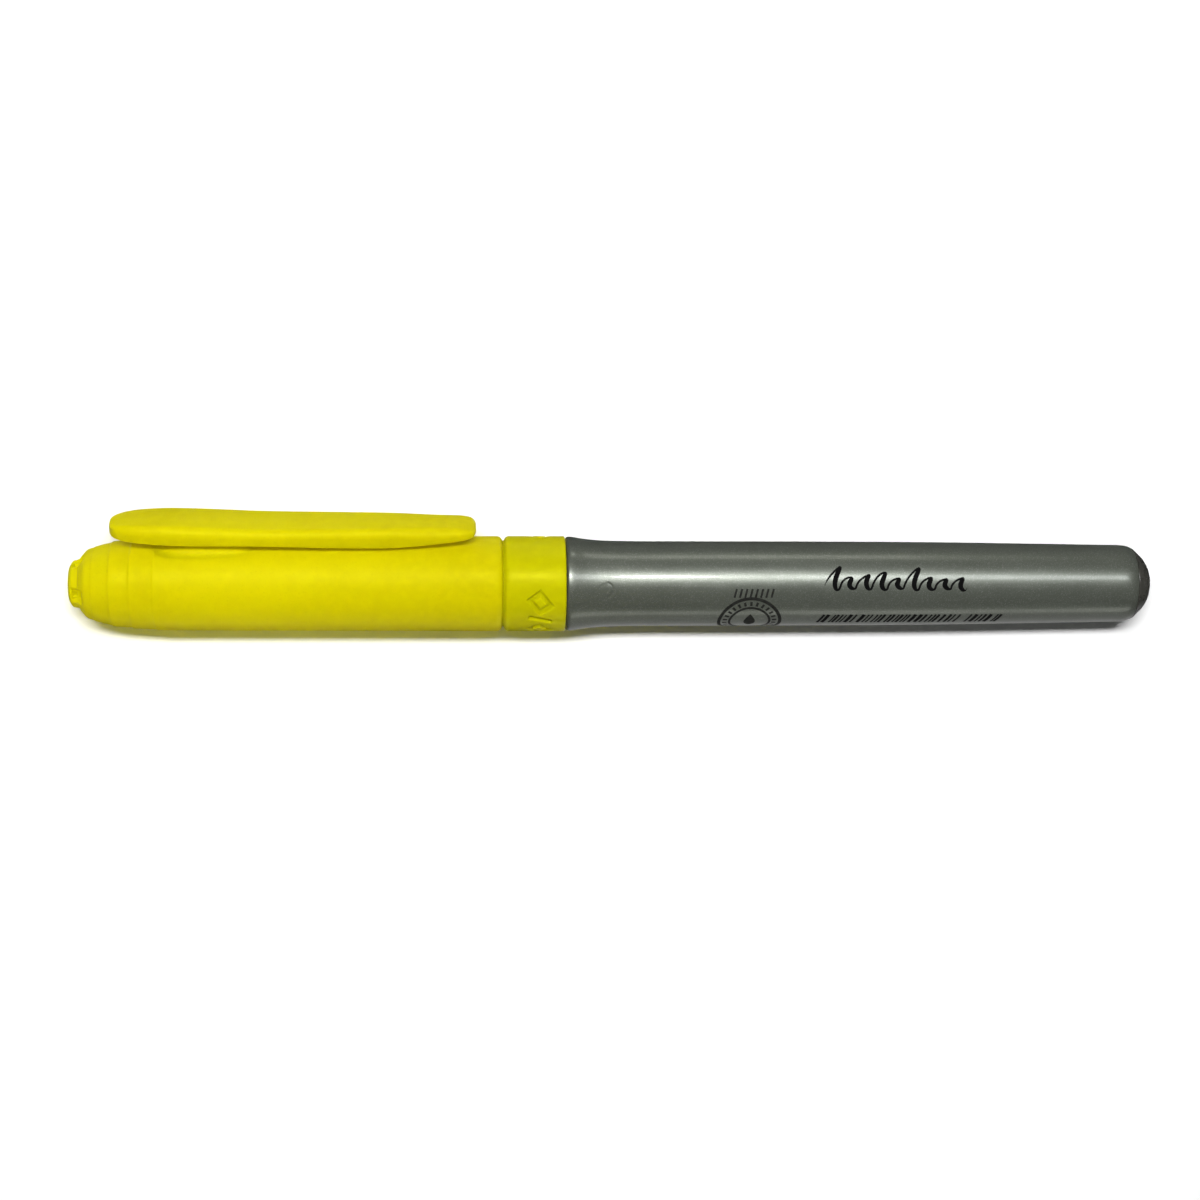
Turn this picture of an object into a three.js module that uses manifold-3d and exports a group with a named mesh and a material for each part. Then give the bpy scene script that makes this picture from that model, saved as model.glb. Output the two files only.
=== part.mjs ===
// Capped pocket highlighter: clip cap, yellow front section with a grip, fibre ink reservoir, pearl-grey barrel.
// Units are millimetres. The pen lies on its side along X, with its clip leaning over to +Y, and Z = 0 is the surface
// it lies on. Every piece is drawn with the clip straight up, and the finished pen is then rolled over.
// Every turned piece is drawn in "s", the distance along the pen from the cap's closed end, and its radius.
import * as THREE from "three";
import { mergeVertices } from "three/addons/utils/BufferGeometryUtils.js";
import Module from "manifold-3d";

const wasm = await Module();
wasm.setup();

// ---------------------------------------------------------------- driving dimensions
const LENGTH = 140; // closed end of the cap to the end plug
const SIDES = 30; // facets round every turned piece
const CLIP_LEAN = Math.PI / 3; // roll of the lying pen: the clip points 30 degrees above the surface
const CAP_R = 6.17; // cap and collar, outside
const CAP_BORE_R = 5.12; // cap mouth, inside
const CAP_MOUTH_S = 55.12; // where the cap ends
const COLLAR_S = 55.28; // front face of the collar
const COLLAR_END_S = 63.16;
const BARREL_S = 63.34; // front lip of the barrel
const BARREL_FRONT_R = 5.51;
const BARREL_REAR_R = 5.085;
const BARREL_END_S = 137.5;
const NIB_TIP_S = 11.4;
const NOSE_S = 17.0; // front face of the nose
const NIB_TALL = 4.6; // chisel nib section, Z
const NIB_THICK = 3.0; // chisel nib section, Y
const NIB_STEM_R = 1.35;
const RESERVOIR_S = [31, 128];
const RESERVOIR_R = 3.2;
const WRAP_R = [3.26, 3.42];
const CLIP_PIVOT_S = 18; // flexing root of the clip
const CLIP_PIVOT_R = 6.75;
const PLINTH = { s0: 12.7, s1: 22.5, half: 1.7, top: 6.62 };
const VENTS = 4;

// ---------------------------------------------------------------- helpers
const V2 = (x, y) => new THREE.Vector2(x, y);

// A closed three.js geometry as a manifold-3d solid, facing out.
function solid(geometry) {
  const g = geometry.index ? geometry.toNonIndexed() : geometry.clone();
  for (const name of Object.keys(g.attributes))
    if (name !== "position") g.deleteAttribute(name);
  const merged = mergeVertices(g, 1e-4);
  const index = merged.index.array;
  const kept = [];
  for (let i = 0; i < index.length; i += 3) {
    const [a, b, c] = [index[i], index[i + 1], index[i + 2]];
    if (a !== b && b !== c && a !== c) kept.push(a, b, c);
  }
  const make = (tris) =>
    new wasm.Manifold(
      new wasm.Mesh({
        numProp: 3,
        vertProperties: new Float32Array(merged.attributes.position.array),
        triVerts: new Uint32Array(tris),
      }),
    );
  const made = make(kept);
  if (made.volume() > 0) return made;
  const turned = [];
  for (let i = 0; i < kept.length; i += 3)
    turned.push(kept[i], kept[i + 2], kept[i + 1]);
  return make(turned);
}

function geometryOf(made) {
  const m = made.getMesh();
  const v = new Float32Array(m.numVert * 3);
  for (let i = 0; i < m.numVert; i++)
    v.set(m.vertProperties.subarray(i * m.numProp, i * m.numProp + 3), i * 3);
  const g = new THREE.BufferGeometry();
  g.setAttribute("position", new THREE.BufferAttribute(v, 3));
  g.setIndex(new THREE.BufferAttribute(new Uint32Array(m.triVerts), 1));
  g.computeVertexNormals();
  return g;
}

// Turned piece: profile of [s, r] pairs. It ends on the axis at both ends, or closes on itself.
// Half a facet of phase puts one flat straight down and one straight up.
function turned(profile, closed = false) {
  const pts = profile.map(([s, r]) => V2(r, s));
  if (closed) pts.push(pts[0].clone());
  const g = new THREE.LatheGeometry(pts, SIDES, Math.PI / SIDES, Math.PI * 2);
  g.rotateZ(-Math.PI / 2); // the lathe's axis onto X
  return solid(g);
}

// Shape in (s, z), extruded across Y from -half to +half.
function sideExtrude(points, half, bevel = 0) {
  const shape = new THREE.Shape(points.map(([s, z]) => V2(s, z)));
  const g = new THREE.ExtrudeGeometry(shape, {
    depth: 2 * (half - bevel),
    bevelEnabled: bevel > 0,
    bevelThickness: bevel,
    bevelSize: bevel,
    bevelOffset: -bevel,
    bevelSegments: 2,
    steps: 1,
  });
  g.translate(0, 0, -(half - bevel));
  g.rotateX(Math.PI / 2); // shape's y onto +Z, extrusion onto -Y
  return solid(g);
}

// Stadium in (s, y) between s0 and s1, extruded from z0 to z1.
function stadium(s0, s1, half, z0, z1) {
  const shape = new THREE.Shape();
  shape.moveTo(s0 + half, -half);
  shape.lineTo(s1 - half, -half);
  shape.absarc(s1 - half, 0, half, -Math.PI / 2, Math.PI / 2, false);
  shape.lineTo(s0 + half, half);
  shape.absarc(s0 + half, 0, half, Math.PI / 2, (3 * Math.PI) / 2, false);
  const g = new THREE.ExtrudeGeometry(shape, {
    depth: z1 - z0,
    bevelEnabled: false,
    curveSegments: 8,
  });
  g.translate(0, 0, z0);
  return solid(g);
}

// Box from s0 to s1 and r0 to r1, width across, turned by angle round the pen's axis. Angle 0 is +Z.
function radialBox(s0, s1, r0, r1, width, angle) {
  const g = new THREE.BoxGeometry(s1 - s0, width, r1 - r0);
  g.translate((s0 + s1) / 2, 0, (r0 + r1) / 2);
  g.rotateX(angle);
  return solid(g);
}

// Piecewise linear table lookup.
function along(table, s) {
  if (s <= table[0][0]) return table[0].slice(1);
  for (let i = 1; i < table.length; i++)
    if (s <= table[i][0]) {
      const [a, b] = [table[i - 1], table[i]];
      const t = (s - a[0]) / (b[0] - a[0]);
      return a.slice(1).map((v, k) => v + (b[k + 1] - v) * t);
    }
  return table[table.length - 1].slice(1);
}

const pen = new THREE.Group();
pen.name = "highlighter";
pen.rotation.x = -CLIP_LEAN;
pen.position.set(-LENGTH / 2, 0, CAP_R * Math.cos(Math.PI / SIDES));

const look = {
  yellow: new THREE.MeshStandardMaterial({
    color: 0xe6dc06,
    roughness: 0.55,
    metalness: 0,
  }),
  sealPlastic: new THREE.MeshStandardMaterial({
    color: 0xeeeedd,
    roughness: 0.5,
    metalness: 0,
  }),
  grip: new THREE.MeshStandardMaterial({
    color: 0xd6cb10,
    roughness: 0.85,
    metalness: 0,
  }),
  pearl: new THREE.MeshStandardMaterial({
    color: 0x7c8078,
    roughness: 0.28,
    metalness: 0.55,
  }),
  felt: new THREE.MeshStandardMaterial({
    color: 0xe8f000,
    roughness: 0.95,
    metalness: 0,
  }),
  fibre: new THREE.MeshStandardMaterial({
    color: 0xeef03c,
    roughness: 0.95,
    metalness: 0,
  }),
  film: new THREE.MeshStandardMaterial({
    color: 0xf4f6e4,
    roughness: 0.2,
    metalness: 0,
  }),
};

function add(name, made, material) {
  const mesh = new THREE.Mesh(geometryOf(made), material);
  mesh.name = name;
  pen.add(mesh);
  return mesh;
}

// ---------------------------------------------------------------- cap
// Stepped dome with a button end, then a long body with a little draft, and a rounded mouth.
const capProfile = [
  [0, 0],
  [0, 1.95],
  [0.06, 2.42],
  [0.35, 2.85],
  [0.9, 3.12],
  [1.3, 3.34],
  [1.6, 3.66],
  [2.1, 4.28],
  [2.4, 4.5],
  [3.1, 4.69],
  [3.22, 4.78],
  [5.35, 5.3],
  [5.5, 5.45],
  [6.0, 5.53],
  [7.95, 5.6],
  [8.1, 5.74],
  [10.95, 5.86],
  [11.1, 5.96],
  [14.5, 6.02],
  [30, 6.07],
  [CAP_MOUTH_S - 0.5, CAP_R],
  [CAP_MOUTH_S - 0.2, 6.05],
  [CAP_MOUTH_S, 5.7],
  [CAP_MOUTH_S, 5.28],
  [CAP_MOUTH_S - 0.18, CAP_BORE_R],
  [52.85, CAP_BORE_R],
  [52.55, 5.22], // groove for the holder's snap bead
  [51.55, 5.22],
  [51.25, CAP_BORE_R],
  [48.3, CAP_BORE_R],
  [47.9, 5.06],
  [13, 5.04],
  [9.5, 4.82],
  [6.5, 4.42],
  [4.4, 3.85],
  [3.1, 3.1],
  [2.3, 2.2],
  [1.2, 2.1],
  [1.2, 0],
];
let capShell = turned(capProfile);
// Four notches round the button, each with a vent window at its foot, so that air can pass through a closed cap.
for (let i = 0; i < VENTS; i++) {
  const a = (i * 2 * Math.PI) / VENTS;
  capShell = capShell
    .subtract(radialBox(0.5, 1.95, 2.55, 4.2, 1.9, a))
    .subtract(radialBox(1.45, 2.3, 1.6, 4.5, 1.1, a));
}
// Plinth that carries the clip.
capShell = capShell.add(
  stadium(PLINTH.s0, PLINTH.s1, PLINTH.half, 5.4, PLINTH.top),
);
add("cap_shell", capShell, look.yellow);

// ---------------------------------------------------------------- inner cap
// Sealing cup that closes over the nose and keeps the nib moist. Its ribs leave an air path to the vents.
let innerCap = turned([
  [4.6, 0],
  [4.6, 2.5],
  [5.1, 3.1],
  [8.6, 4.05],
  [12.2, 4.5],
  [24.0, 4.56],
  [24.5, 4.42],
  [24.5, 4.16],
  [23.9, 4.05],
  [17.2, 4.05],
  [15.6, 3.72],
  [7.2, 3.1],
  [5.6, 2.2],
  [5.6, 0],
]);
for (let i = 0; i < 6; i++)
  innerCap = innerCap.add(
    radialBox(13.2, 23.2, 4.25, 4.95, 0.7, ((i + 0.5) * Math.PI) / 3),
  );
add("inner_cap", innerCap, look.sealPlastic);

// ---------------------------------------------------------------- clip
// s, half width, underside radius, crown radius, upper corner radius
const CLIP = [
  [5.6, 0.62, 7.85, 8.95, 0.3],
  [5.68, 1.0, 7.72, 9.15, 0.45],
  [5.95, 1.6, 7.62, 9.28, 0.65],
  [6.5, 2.15, 7.56, 9.42, 0.85],
  [7.5, 2.65, 7.48, 9.6, 1.05],
  [9.4, 3.08, 7.4, 9.78, 1.2],
  [12.4, 3.35, 7.28, 9.88, 1.3],
  [16.3, 3.45, 7.21, 9.78, 1.3],
  [20.2, 3.42, 7.18, 9.61, 1.25],
  [24.1, 3.38, 7.13, 9.44, 1.2],
  [28.05, 3.3, 7.0, 9.39, 1.2],
  [32.0, 3.22, 6.85, 9.39, 1.2],
  [35.9, 3.12, 6.75, 9.39, 1.2],
  [39.9, 3.0, 6.68, 9.39, 1.2],
  [42.8, 2.92, 6.8, 9.37, 1.15],
  [45.8, 2.82, 7.05, 9.32, 1.05],
  [48.8, 2.7, 7.38, 9.22, 0.9],
  [50.3, 2.58, 7.6, 9.1, 0.75],
  [51.1, 2.3, 7.7, 8.88, 0.55],
  [51.55, 1.9, 7.85, 8.65, 0.35],
  [51.7, 1.5, 7.95, 8.5, 0.22],
];
// One section point: k runs round the section, in (y, r). Flat underside, short sides, rounded shoulders, crowned top.
function clipSection(s) {
  const [half, under, crown, shoulder] = along(CLIP, s);
  const arch = 0.14 * (half / 3);
  const pts = [];
  const low = Math.min(0.3, shoulder * 0.6);
  const arc = (cy, cr, r, a0, a1, n) => {
    for (let i = 0; i <= n; i++) {
      const a = a0 + ((a1 - a0) * i) / n;
      pts.push([cy + r * Math.cos(a), cr + r * Math.sin(a)]);
    }
  };
  arc(half - low, under + low, low, -Math.PI / 2, 0, 2);
  arc(half - shoulder, crown - arch - shoulder, shoulder, 0, Math.PI / 2, 4);
  pts.push([0, crown]);
  arc(shoulder - half, crown - arch - shoulder, shoulder, Math.PI / 2, Math.PI, 4);
  arc(low - half, under + low, low, Math.PI, 1.5 * Math.PI, 2);
  return pts;
}
const sectionCount = clipSection(20).length;
// The bar is an extrusion whose every step is then given its own section.
const bar = new THREE.ExtrudeGeometry(
  new THREE.Shape(
    Array.from({ length: sectionCount }, (_, k) => {
      const a = (2 * Math.PI * k) / sectionCount;
      return V2(Math.cos(a), Math.sin(a));
    }),
  ),
  { depth: 1, steps: CLIP.length - 1, bevelEnabled: false, curveSegments: 1 },
);
{
  const p = bar.getAttribute("position");
  for (let i = 0; i < p.count; i++) {
    const turn = Math.atan2(p.getY(i), p.getX(i));
    const k =
      ((Math.round((turn * sectionCount) / (2 * Math.PI)) % sectionCount) +
        sectionCount) %
      sectionCount;
    const s = CLIP[Math.round(p.getZ(i) * (CLIP.length - 1))][0];
    const [y, r] = clipSection(s)[k];
    p.setXYZ(i, s, y, r);
  }
}
const foot = sideExtrude(
  [
    [PLINTH.s0 + 0.6, 8.4],
    [PLINTH.s0 + 0.6, 7.1],
    [CLIP_PIVOT_S - 0.5, CLIP_PIVOT_R],
    [PLINTH.s1 - 0.2, CLIP_PIVOT_R],
    [PLINTH.s1 - 0.2, 8.4],
  ],
  PLINTH.half,
);
// Low bump under the arm that presses cloth or paper against the cap.
const bump = sideExtrude(
  [
    [37.5, 7.9],
    [38.0, 6.75],
    [38.9, 6.55],
    [39.5, 6.46],
    [41.1, 6.46],
    [41.7, 6.55],
    [42.6, 6.85],
    [43.1, 7.9],
  ],
  1.3,
);
add("pocket_clip", solid(bar).add(foot).add(bump), look.yellow);

// ---------------------------------------------------------------- front section
// Nose, seal land, grip seat, cap spigot with its snap bead, collar, and the tail that goes into the barrel.
let front = turned(
  [
    [NOSE_S, 1.5],
    [NOSE_S, 3.0],
    [NOSE_S + 0.3, 3.24],
    [19.5, 3.78],
    [20.1, 3.98],
    [24.6, 3.98],
    [24.9, 4.5],
    [25.6, 4.92],
    [26.0, 4.94],
    [26.0, 4.2],
    [47.6, 4.2],
    [47.6, 4.92],
    [48.0, 4.98],
    [51.45, 4.98],
    [51.75, 5.06],
    [52.35, 5.06],
    [52.65, 4.98],
    [COLLAR_S, 4.98],
    [COLLAR_S, 5.7],
    [COLLAR_S + 0.2, 6.05],
    [COLLAR_S + 0.5, CAP_R],
    [COLLAR_END_S - 0.2, CAP_R],
    [COLLAR_END_S, 6.05],
    [COLLAR_END_S, 5.3],
    [58.1, 5.3], // slot that takes the barrel's tongue
    [58.1, 4.82],
    [73.0, 4.8],
    [73.4, 4.6],
    [73.4, 3.56],
    [30.6, 3.56],
    [29.8, 3.0],
    [26.0, 3.0],
    [26.0, 1.5],
  ],
  true,
);
// Socket for the nib's rectangular body.
const SOCKET_S = 22.6; // bottom of the socket
const socket = new THREE.BoxGeometry(
  SOCKET_S - NOSE_S + 0.4,
  NIB_THICK + 0.12,
  NIB_TALL + 0.12,
);
socket.translate((SOCKET_S + NOSE_S - 0.4) / 2, 0, 0);
front = front.subtract(solid(socket));
add("front_section", front, look.yellow);

// ---------------------------------------------------------------- grip sleeve
const gripProfile = [
  [26.15, 4.28],
  [26.15, 4.78],
  [26.4, 4.9],
];
for (let i = 0; i < 5; i++) {
  const s = 29.0 + i * 3.6;
  gripProfile.push([s, 4.92], [s + 0.3, 4.7], [s + 0.9, 4.7], [s + 1.2, 4.92]);
}
gripProfile.push([47.2, 4.9], [47.45, 4.78], [47.45, 4.28]);
add("grip_sleeve", turned(gripProfile, true), look.grip);

// ---------------------------------------------------------------- chisel nib
const half = NIB_TALL / 2;
const nibSide = sideExtrude(
  [
    [SOCKET_S - 0.2, half],
    [NIB_TIP_S + 0.7, half],
    [NIB_TIP_S, half - 0.45],
    [NIB_TIP_S + 3.4, 0.2 - half],
    [NIB_TIP_S + 4.0, -half],
    [SOCKET_S - 0.2, -half],
  ],
  NIB_THICK / 2,
);
// Seen from above, the part outside the nose thins down to a blunt edge.
const nibPlan = new THREE.ExtrudeGeometry(
  new THREE.Shape([
    V2(SOCKET_S, -1.6),
    V2(SOCKET_S, 1.6),
    V2(NOSE_S - 0.6, 1.6),
    V2(NIB_TIP_S - 0.1, 0.72),
    V2(NIB_TIP_S - 0.1, -0.72),
    V2(NOSE_S - 0.6, -1.6),
  ]),
  { depth: 6, bevelEnabled: false },
);
nibPlan.translate(0, 0, -3);
const stem = turned([
  [SOCKET_S - 0.6, 0],
  [SOCKET_S - 0.6, NIB_STEM_R],
  [35.4, NIB_STEM_R],
  [36.6, 0.55],
  [36.6, 0],
]);
add("chisel_nib", nibSide.intersect(solid(nibPlan)).add(stem), look.felt);

// ---------------------------------------------------------------- ink reservoir and its wrap
const [r0, r1] = RESERVOIR_S;
add(
  "ink_reservoir",
  turned([
    [r0, 1.5],
    [r0, RESERVOIR_R - 0.1],
    [r0 + 0.1, RESERVOIR_R],
    [r1 - 0.1, RESERVOIR_R],
    [r1, RESERVOIR_R - 0.1],
    [r1, 0],
    [r0 + 6.6, 0],
    [r0 + 6.6, 1.5],
    [r0, 1.5],
  ]),
  look.fibre,
);
add(
  "reservoir_wrap",
  turned(
    [
      [r0, WRAP_R[0]],
      [r0, WRAP_R[1]],
      [r1, WRAP_R[1]],
      [r1, WRAP_R[0]],
    ],
    true,
  ),
  look.film,
);

// ---------------------------------------------------------------- barrel
// Tongue in the collar's slot, rounded lip, short flare, long taper, rounded shoulder, and an open rear end.
let barrel = turned(
  [
    [58.35, 4.88],
    [58.35, 5.22],
    [BARREL_S, 5.22],
    [BARREL_S, 5.9],
    [BARREL_S + 0.1, 6.04],
    [BARREL_S + 0.4, 6.1],
    [BARREL_S + 0.75, 6.07],
    [BARREL_S + 1.2, 6.02],
    [BARREL_S + 1.85, 5.895],
    [BARREL_S + 3.15, 5.73],
    [BARREL_S + 4.45, 5.63],
    [BARREL_S + 5.75, 5.56],
    [73, BARREL_FRONT_R],
    [91, 5.5],
    [104.4, 5.465],
    [113.7, 5.385],
    [127, 5.195],
    [133.6, BARREL_REAR_R],
    [136.0, 5.06],
    [136.6, 5.0],
    [137.1, 4.88],
    [BARREL_END_S, 4.72],
    [BARREL_END_S, 3.6],
    [135.2, 3.6],
    [133.6, 4.2],
    [75.2, 4.46],
    [74.4, 4.88],
  ],
  true,
);
// Inner ribs that hold the reservoir on the axis and leave air room round it.
for (let i = 0; i < 4; i++)
  barrel = barrel.add(
    radialBox(78, 130, 3.52, 4.36, 0.7, (i + 0.5) * (Math.PI / 2)),
  );
add("barrel", barrel, look.pearl);

// ---------------------------------------------------------------- end plug
add(
  "end_plug",
  turned([
    [128.25, 2.9],
    [128.25, 3.3],
    [128.6, 3.5],
    [BARREL_END_S + 0.06, 3.54],
    [BARREL_END_S + 0.06, 4.7],
    [137.7, 4.6],
    [138.2, 4.12],
    [138.75, 3.62],
    [139.2, 3.08],
    [139.6, 2.38],
    [139.85, 1.65],
    [139.97, 0.9],
    [LENGTH, 0.5],
    [LENGTH, 0],
    [136.6, 0],
    [136.6, 2.8],
    [128.25, 2.9],
  ]),
  look.pearl,
);

// The origin is under the middle of the pen's bounding box, clip included.
pen.updateMatrixWorld(true);
const extent = new THREE.Box3().setFromObject(pen, true);
pen.position.y -= (extent.min.y + extent.max.y) / 2;

export default pen;
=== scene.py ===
# Looks of the capped pocket highlighter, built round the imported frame. Metres; s and r below are millimetres:
# s runs along the pen from the cap's closed end, r is the distance from the pen's axis, and angles are measured
# round the axis from straight up (0) towards the clip's side (+Y).
import math
import random

import bmesh
import bpy
from mathutils import Matrix, Vector


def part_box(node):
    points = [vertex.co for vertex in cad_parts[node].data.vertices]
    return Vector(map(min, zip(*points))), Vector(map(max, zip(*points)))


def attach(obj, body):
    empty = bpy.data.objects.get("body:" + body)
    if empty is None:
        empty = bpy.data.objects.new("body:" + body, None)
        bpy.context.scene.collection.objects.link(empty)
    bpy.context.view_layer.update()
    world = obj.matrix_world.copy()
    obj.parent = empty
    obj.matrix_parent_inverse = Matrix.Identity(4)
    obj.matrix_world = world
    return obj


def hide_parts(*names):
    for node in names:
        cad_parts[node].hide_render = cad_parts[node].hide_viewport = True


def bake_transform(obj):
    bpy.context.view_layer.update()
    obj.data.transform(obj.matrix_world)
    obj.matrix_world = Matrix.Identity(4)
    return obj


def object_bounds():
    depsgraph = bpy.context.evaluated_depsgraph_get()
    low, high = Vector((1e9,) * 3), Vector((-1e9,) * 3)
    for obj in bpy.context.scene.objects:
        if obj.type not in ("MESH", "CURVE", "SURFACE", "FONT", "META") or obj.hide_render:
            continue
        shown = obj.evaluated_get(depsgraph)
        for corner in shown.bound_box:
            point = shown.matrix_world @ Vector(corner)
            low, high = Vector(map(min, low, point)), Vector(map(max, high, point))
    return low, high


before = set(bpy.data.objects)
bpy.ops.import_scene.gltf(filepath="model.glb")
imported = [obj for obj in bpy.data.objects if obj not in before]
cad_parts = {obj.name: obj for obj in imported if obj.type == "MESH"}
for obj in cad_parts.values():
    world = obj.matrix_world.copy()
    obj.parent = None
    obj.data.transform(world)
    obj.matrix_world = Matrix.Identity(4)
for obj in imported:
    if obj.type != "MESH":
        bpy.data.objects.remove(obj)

CAD_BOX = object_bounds()
random.seed(7)
MM = 0.001
TAU = 2 * math.pi
K = math.cos(math.pi / 30)  # the CAD's 30-sided turned pieces touch a circle this much smaller than their corners

_b0, _b1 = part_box("barrel")
AY, AZ = (_b0.y + _b1.y) / 2, (_b0.z + _b1.z) / 2
X0 = CAD_BOX[0].x
CLIP_A = math.radians(60)  # where the clip sits


def W(s, r, a):
    """Point at s, radius r, angle a."""
    return Vector((X0 + s * MM, AY + r * MM * math.sin(a), AZ + r * MM * math.cos(a)))


def C(s, y, z):
    """Point in the clip's own section: z away from the axis through the clip, y across it."""
    ca, sa = math.cos(CLIP_A), math.sin(CLIP_A)
    return Vector((X0 + s * MM, AY + (y * ca + z * sa) * MM, AZ + (z * ca - y * sa) * MM))


def smooth(a, b, x):
    t = min(1.0, max(0.0, (x - a) / (b - a)))
    return t * t * (3 - 2 * t)


def finish_mesh(name, bm, sharp=38):
    bmesh.ops.recalc_face_normals(bm, faces=bm.faces)
    me = bpy.data.meshes.new(name)
    bm.to_mesh(me)
    bm.free()
    for p in me.polygons:
        p.use_smooth = True
    me.set_sharp_from_angle(angle=math.radians(sharp))
    ob = bpy.data.objects.new(name, me)
    bpy.context.scene.collection.objects.link(ob)
    return ob


def rounded(points, n=5):
    """Profile corners (s, r, fillet) rounded with short curves."""
    out = []
    m = len(points)
    for i, p in enumerate(points):
        s, r = p[0], p[1]
        f = p[2] if len(p) > 2 else 0
        if f <= 0 or i in (0, m - 1):
            out.append((s, r))
            continue
        a, b = points[i - 1], points[i + 1]
        da = math.hypot(a[0] - s, a[1] - r)
        db = math.hypot(b[0] - s, b[1] - r)
        if da < 1e-6 or db < 1e-6:
            out.append((s, r))
            continue
        fa, fb = min(f, 0.45 * da), min(f, 0.45 * db)
        p0 = (s + (a[0] - s) * fa / da, r + (a[1] - r) * fa / da)
        p2 = (s + (b[0] - s) * fb / db, r + (b[1] - r) * fb / db)
        for k in range(n + 1):
            t = k / n
            out.append((
                (1 - t) ** 2 * p0[0] + 2 * t * (1 - t) * s + t * t * p2[0],
                (1 - t) ** 2 * p0[1] + 2 * t * (1 - t) * r + t * t * p2[1],
            ))
    clean = [out[0]]
    for q in out[1:]:
        if math.hypot(q[0] - clean[-1][0], q[1] - clean[-1][1]) > 1e-5:
            clean.append(q)
    return clean


def split(profile, s0, s1, step, upto=None):
    """Adds points to the part of a profile between s0 and s1, so that no stretch there is longer than step."""
    out = [profile[0]]
    for i, q in enumerate(profile[1:]):
        p = out[-1]
        inside = s0 <= min(p[0], q[0]) and max(p[0], q[0]) <= s1 and (upto is None or i < upto)
        d = math.hypot(q[0] - p[0], q[1] - p[1])
        n = max(1, math.ceil(d / step)) if inside else 1
        for k in range(1, n + 1):
            out.append((p[0] + (q[0] - p[0]) * k / n, p[1] + (q[1] - p[1]) * k / n))
    return out


def lathe(name, profile, seg=144, closed=False, move=None, k=K, sharp=38):
    """Turned mesh. move(index, s, r, a) may shift a point to a new (s, r)."""
    bm = bmesh.new()
    rings = []
    for i, (s, r) in enumerate(profile):
        if r < 1e-6:
            rings.append([bm.verts.new(W(s, 0, 0))])
            continue
        ring = []
        for j in range(seg):
            a = TAU * j / seg
            ss, rr = (s, r * k) if move is None else move(i, s, r * k, a)
            ring.append(bm.verts.new(W(ss, rr, a)))
        rings.append(ring)
    pairs = list(zip(rings, rings[1:]))
    if closed:
        pairs.append((rings[-1], rings[0]))
    for a, b in pairs:
        for j in range(seg):
            n = (j + 1) % seg
            if len(a) == 1 and len(b) == 1:
                break
            if len(a) == 1:
                bm.faces.new((a[0], b[n], b[j]))
            elif len(b) == 1:
                bm.faces.new((a[j], a[n], b[0]))
            else:
                bm.faces.new((a[j], a[n], b[n], b[j]))
    return finish_mesh(name, bm, sharp)


# ------------------------------------------------------------------------------------------------ materials
def lin(r, g, b):
    f = lambda c: c / 12.92 if c <= 0.04045 else ((c + 0.055) / 1.055) ** 2.4
    return (f(r / 255), f(g / 255), f(b / 255), 1.0)


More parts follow.
